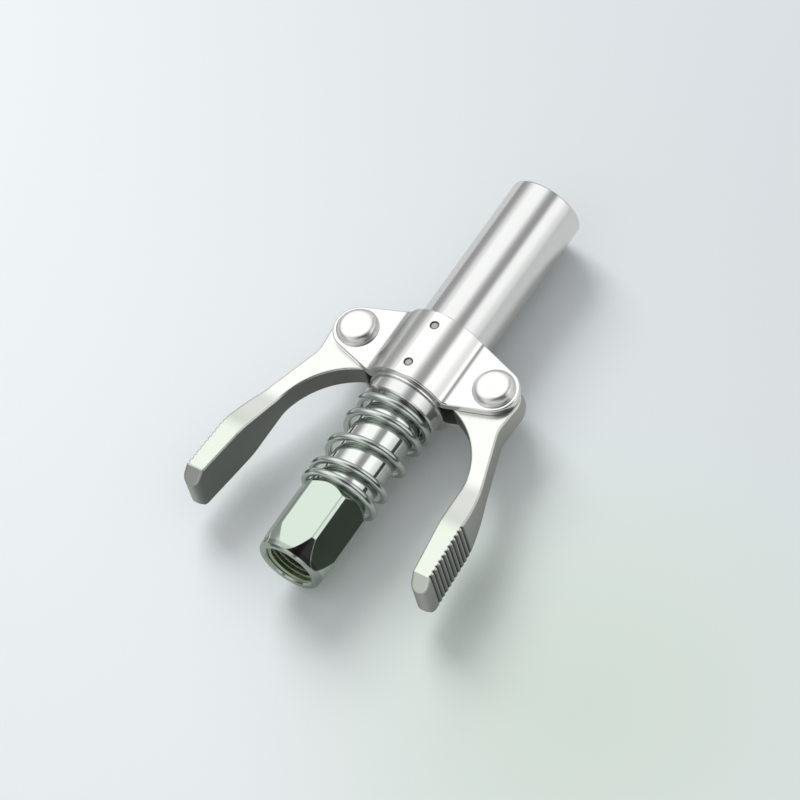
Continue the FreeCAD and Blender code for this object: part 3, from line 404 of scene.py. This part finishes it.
finishes = {name: platedMetal(name) for name in platedFinish}
finishes["handleSteel"] = handleSteel()
finishes.update({name: innerMaterial(name) for name in innerFinish})
wearers = {
    "inletPlating": ["inlet_body"],
    "sleevePlating": ["sleeve"],
    "yokePlating": ["yoke_plate_top", "yoke_plate_bottom", "snap_ring"],
    "rivetPlating": ["rivet_left", "rivet_right"],
    "wirePlating": ["return_spring", "seal_spring", "check_spring"],
    "handleSteel": ["lever_left", "lever_right"],
    "turnedSteel": ["yoke_lock_pins", "check_ball"],
    "hardenedSteel": ["jaw_1", "jaw_2", "jaw_3", "jaw_4"],
    "turnedBrass": ["seal_carrier", "check_retainer"],
    "nitrileRubber": ["jaw_ring", "carrier_o_ring"],
    "sealPolymer": ["nose_seal"],
}
for finish, wearing in wearers.items():
    for node in wearing:
        for place in nodes[node].material_slots:
            place.material = finishes[finish]
for spring in springs:
    spring.data.materials.append(finishes["wirePlating"])
thread.data.materials.append(finishes["inletPlating"])
print("materials:", len(finishes), "on", sum(map(len, wearers.values())), "nodes")

# Pale studio table under the coupler, cool grey with a faint green cast towards the near right
studioFloor = {"halfSide": 3000.0, "drop": -9.1, "cool": "#edf2f4", "far": "#d9dfe2",
               "farFrom": [-60.0, -10.0], "farAlong": [0.45, 0.89], "farReach": 190.0, "green": "#d9e5dc",
               "greenPlace": [60.0, 5.0], "greenReach": 75.0, "shadowShare": 0.97, "mirrored": "#dcdfde",
               "roughness": 0.9}


def makeFloor():
    # one flat square. Its colour goes from cool to far along a direction, and to green near a point
    f = studioFloor
    side = np.linspace(-f["halfSide"], f["halfSide"], 2) * mm
    x, y = np.meshgrid(side, side, indexing="ij")
    floor = gridMesh("studioFloor", np.stack([x, y, np.full_like(x, f["drop"] * mm)], -1), False)
    floor.data.flip_normals()
    material, tree, shader = newMaterial("studioFloor", f["cool"], 0.0, f["roughness"])
    place = addNode(tree, "ShaderNodeTexCoord").outputs["Object"]
    gap = addNode(tree, "ShaderNodeVectorMath", {"operation": "DISTANCE"},
                  {1: [f["greenPlace"][0] * mm, f["greenPlace"][1] * mm, f["drop"] * mm]}, {0: place})
    cast = addNode(tree, "ShaderNodeMapRange", {"interpolation_type": "SMOOTHSTEP"},
                   {"From Min": 0.0, "From Max": f["greenReach"] * mm, "To Min": 1.0, "To Max": 0.0},
                   {"Value": gap.outputs["Value"]})
    # painted light falloff: the table's colour darkens from the near left to beyond the nose
    aim = addNode(tree, "ShaderNodeVectorMath", {"operation": "DOT_PRODUCT"}, {1: f["farAlong"] + [0.0]},
                  {0: place})
    start = (f["farFrom"][0] * f["farAlong"][0] + f["farFrom"][1] * f["farAlong"][1]) * mm
    away = addNode(tree, "ShaderNodeMapRange", {"interpolation_type": "SMOOTHSTEP"},
                   {"From Min": start, "From Max": start + f["farReach"] * mm},
                   {"Value": aim.outputs["Value"]})
    base = addNode(tree, "ShaderNodeMix", {"data_type": "RGBA"},
                   {"A": linearColour(f["cool"]), "B": linearColour(f["far"])},
                   {"Factor": away.outputs["Result"]})
    colour = addNode(tree, "ShaderNodeMix", {"data_type": "RGBA"}, {"B": linearColour(f["green"])},
                     {"Factor": cast.outputs["Result"], "A": base.outputs["Result"]})
    # the plating mirrors the table in a neutral grey
    path = addNode(tree, "ShaderNodeLightPath")
    shown = addNode(tree, "ShaderNodeMix", {"data_type": "RGBA"}, {"B": linearColour(f["mirrored"])},
                    {"Factor": path.outputs["Is Glossy Ray"], "A": colour.outputs["Result"]})
    tree.links.new(shown.outputs["Result"], shader.inputs["Base Color"])
    # a small part of the floor's colour shows as written, the rest keeps the object's shadow
    glow = addNode(tree, "ShaderNodeEmission", links={"Color": shown.outputs["Result"]})
    direct = addNode(tree, "ShaderNodeMath", {"operation": "MAXIMUM"},
                     links={0: path.outputs["Is Camera Ray"], 1: path.outputs["Is Glossy Ray"]})
    seen = addNode(tree, "ShaderNodeMath", {"operation": "MAXIMUM"},
                   links={0: direct.outputs["Value"], 1: path.outputs["Is Transmission Ray"]})
    share = addNode(tree, "ShaderNodeMath", {"operation": "MULTIPLY"}, {1: 1 - f["shadowShare"]},
                    {0: seen.outputs["Value"]})
    mixed = addNode(tree, "ShaderNodeMixShader",
                    links={0: share.outputs["Value"], 1: shader.outputs["BSDF"], 2: glow.outputs["Emission"]})
    tree.links.new(mixed.outputs["Shader"], tree.nodes["Material Output"].inputs["Surface"])
    floor.data.materials.append(material)


makeFloor()
print("floor")

# Camera fitted to the picture: angles in degrees, frame and offset in pixels
cameraFit = {"azimuth": 48.617, "elevation": 55.041, "roll": -18.446, "distance": 925.4,
             "target": [0, 45, 0], "frame": 800, "pixelsPerMm": 5.3421, "offset": [19.817, -16.661],
             "sensor": 36.0, "farthest": 20000}


def makeCamera():
    # the back direction comes from azimuth and elevation, and the frame is rolled about it
    c = cameraFit
    azimuth, elevation, roll = np.radians([c["azimuth"], c["elevation"], c["roll"]])
    back = np.array([np.sin(azimuth) * np.cos(elevation), -np.cos(azimuth) * np.cos(elevation),
                     np.sin(elevation)])
    level = np.array([np.cos(azimuth), np.sin(azimuth), 0])
    rise = np.cross(back, level)
    right = level * np.cos(roll) + rise * np.sin(roll)
    up = rise * np.cos(roll) - level * np.sin(roll)
    spot = (np.array(c["target"]) + back * c["distance"]
            - right * c["offset"][0] / c["pixelsPerMm"] + up * c["offset"][1] / c["pixelsPerMm"])
    data = bpy.data.cameras.new("photoCamera")
    data.sensor_width = c["sensor"]
    data.lens = c["sensor"] * c["pixelsPerMm"] * c["distance"] / c["frame"]
    data.clip_end = c["farthest"] * mm
    camera = bpy.data.objects.new("photoCamera", data)
    rows = [[right[i], up[i], back[i], spot[i] * mm] for i in range(3)]
    camera.matrix_world = Matrix(rows + [[0, 0, 0, 1]])
    scene.collection.objects.link(camera)
    scene.camera = camera


makeCamera()
print("camera")

# Soft studio: a tent of light whose strength depends on the direction round the coupler's axis,
# with the darker slot between its two soft boxes and a black panel over the inlet.
# Stops are (place round or along, strength); a ramp holds 0 to 1, so "brightest" scales the strengths
studioTent = {
    "stops": [(0.0, 0.80), (0.10, 1.02), (0.165, 1.3), (0.27, 1.3), (0.298, 0.95), (0.318, 0.42),
              (0.37, 0.37), (0.42, 0.46), (0.46, 0.78), (0.51, 1.28), (0.72, 1.3), (0.79, 0.95),
              (0.85, 0.5), (0.90, 0.40), (1.0, 0.38)],
    "ends": [(0.0, 0.9), (0.06, 0.82), (0.15, 0.5), (0.30, 0.7), (0.40, 1.0), (0.72, 1.0), (0.82, 0.74),
             (1.0, 0.64)],
    "brightest": 2.0, "panelPlace": [0.50, -0.12], "panelHalf": [0.68, 0.34], "panelEdge": [0.85, 1.2],
    "panelLevel": 0.04, "plainLevel": 0.66, "plainSpread": [0.0, 0.8], "plainSide": 0.35, "backdrop": 0.78,
}


def fillRamp(ramp, stops, scale=1.0):
    # stops as (place, strength), each strength divided by the scale
    while len(ramp.color_ramp.elements) < len(stops):
        ramp.color_ramp.elements.new(0.5)
    for element, (place, strength) in zip(ramp.color_ramp.elements, stops):
        element.position = place
        element.color = [strength / scale] * 3 + [1]


def makeLight():
    # strength = bands by the angle round the axis, times ends by the direction along it, times the panel
    t = studioTent
    world = bpy.data.worlds.new("softStudio")
    scene.world = world
    world.use_nodes = True
    tree = world.node_tree
    towards = addNode(tree, "ShaderNodeTexCoord").outputs["Generated"]
    parts = addNode(tree, "ShaderNodeSeparateXYZ", links={"Vector": towards})
    turn = addNode(tree, "ShaderNodeMath", {"operation": "ARCTAN2"},
                   links={0: parts.outputs["Z"], 1: parts.outputs["X"]})
    share = addNode(tree, "ShaderNodeMath", {"operation": "DIVIDE"}, {1: np.pi}, {0: turn.outputs["Value"]})
    bands = addNode(tree, "ShaderNodeValToRGB", links={"Fac": share.outputs["Value"]})
    fillRamp(bands, t["stops"], t["brightest"])
    # the tent's two open ends, beyond the inlet and beyond the nose, give less light
    along = addNode(tree, "ShaderNodeMapRange", values={"From Min": -1.0, "From Max": 1.0},
                    links={"Value": parts.outputs["Y"]})
    ends = addNode(tree, "ShaderNodeValToRGB", links={"Fac": along.outputs["Result"]})
    fillRamp(ends, t["ends"])
    # a black panel hangs over the inlet: an oval in the sky, seen by its across and along directions
    offset = addNode(tree, "ShaderNodeVectorMath", {"operation": "SUBTRACT"}, {1: t["panelPlace"] + [0.0]},
                     {0: towards})
    oval = addNode(tree, "ShaderNodeVectorMath", {"operation": "MULTIPLY"},
                   {1: [1 / t["panelHalf"][0], 1 / t["panelHalf"][1], 0.0]}, {0: offset.outputs["Vector"]})
    reach = addNode(tree, "ShaderNodeVectorMath", {"operation": "LENGTH"}, links={0: oval.outputs["Vector"]})
    panel = addNode(tree, "ShaderNodeMapRange", {"interpolation_type": "SMOOTHSTEP"},
                    {"From Min": t["panelEdge"][0], "From Max": t["panelEdge"][1], "To Min": t["panelLevel"]},
                    {"Value": reach.outputs["Value"]})
    wall = addNode(tree, "ShaderNodeMath", {"operation": "MULTIPLY"},
                   links={0: bands.outputs["Color"], 1: ends.outputs["Color"]})
    level = addNode(tree, "ShaderNodeMath", {"operation": "MULTIPLY"},
                    links={0: wall.outputs["Value"], 1: panel.outputs["Result"]})
    strength = addNode(tree, "ShaderNodeMath", {"operation": "MULTIPLY"}, {1: t["brightest"]},
                       {0: level.outputs["Value"]})
    # metal sees the tent's bands; everything else is lit by a plain tent that is brightest overhead
    plain = addNode(tree, "ShaderNodeMapRange",
                    values={"From Min": t["plainSpread"][0], "From Max": t["plainSpread"][1],
                            "To Min": t["plainLevel"] * t["plainSide"], "To Max": t["plainLevel"]},
                    links={"Value": parts.outputs["Z"]})
    path = addNode(tree, "ShaderNodeLightPath")
    pick = addNode(tree, "ShaderNodeMix", {"data_type": "FLOAT"},
                   links={"Factor": path.outputs["Is Glossy Ray"], "A": plain.outputs["Result"],
                          "B": strength.outputs["Value"]})
    # the camera itself sees a pale backdrop beyond the table
    seen = addNode(tree, "ShaderNodeMix", {"data_type": "FLOAT"}, {"B": t["backdrop"]},
                   {"Factor": path.outputs["Is Camera Ray"], "A": pick.outputs["Result"]})
    background = tree.nodes["Background"]
    background.inputs["Color"].default_value = linearColour("#ffffff")
    tree.links.new(seen.outputs["Result"], background.inputs["Strength"])


# One large soft lamp high on the left, beyond the nose, lays the soft shadow to the right. Power in watts
keyLamp = {"place": [-780, 640, 840], "aim": [0, 45, 0], "side": 700, "power": 11.6}


def makeKeyLamp():
    # a square area lamp whose face looks from its place towards its aim
    k = keyLamp
    data = bpy.data.lights.new("keyLamp", "AREA")
    data.shape = "SQUARE"
    data.size = k["side"] * mm
    data.energy = k["power"]
    lamp = bpy.data.objects.new("keyLamp", data)
    lamp.location = Vector(k["place"]) * mm
    lamp.rotation_euler = (Vector(k["place"]) - Vector(k["aim"])).to_track_quat("Z", "Y").to_euler()
    lamp.visible_glossy = False
    scene.collection.objects.link(lamp)


makeLight()
makeKeyLamp()
scene.view_settings.view_transform = "Standard"
print("studio light")
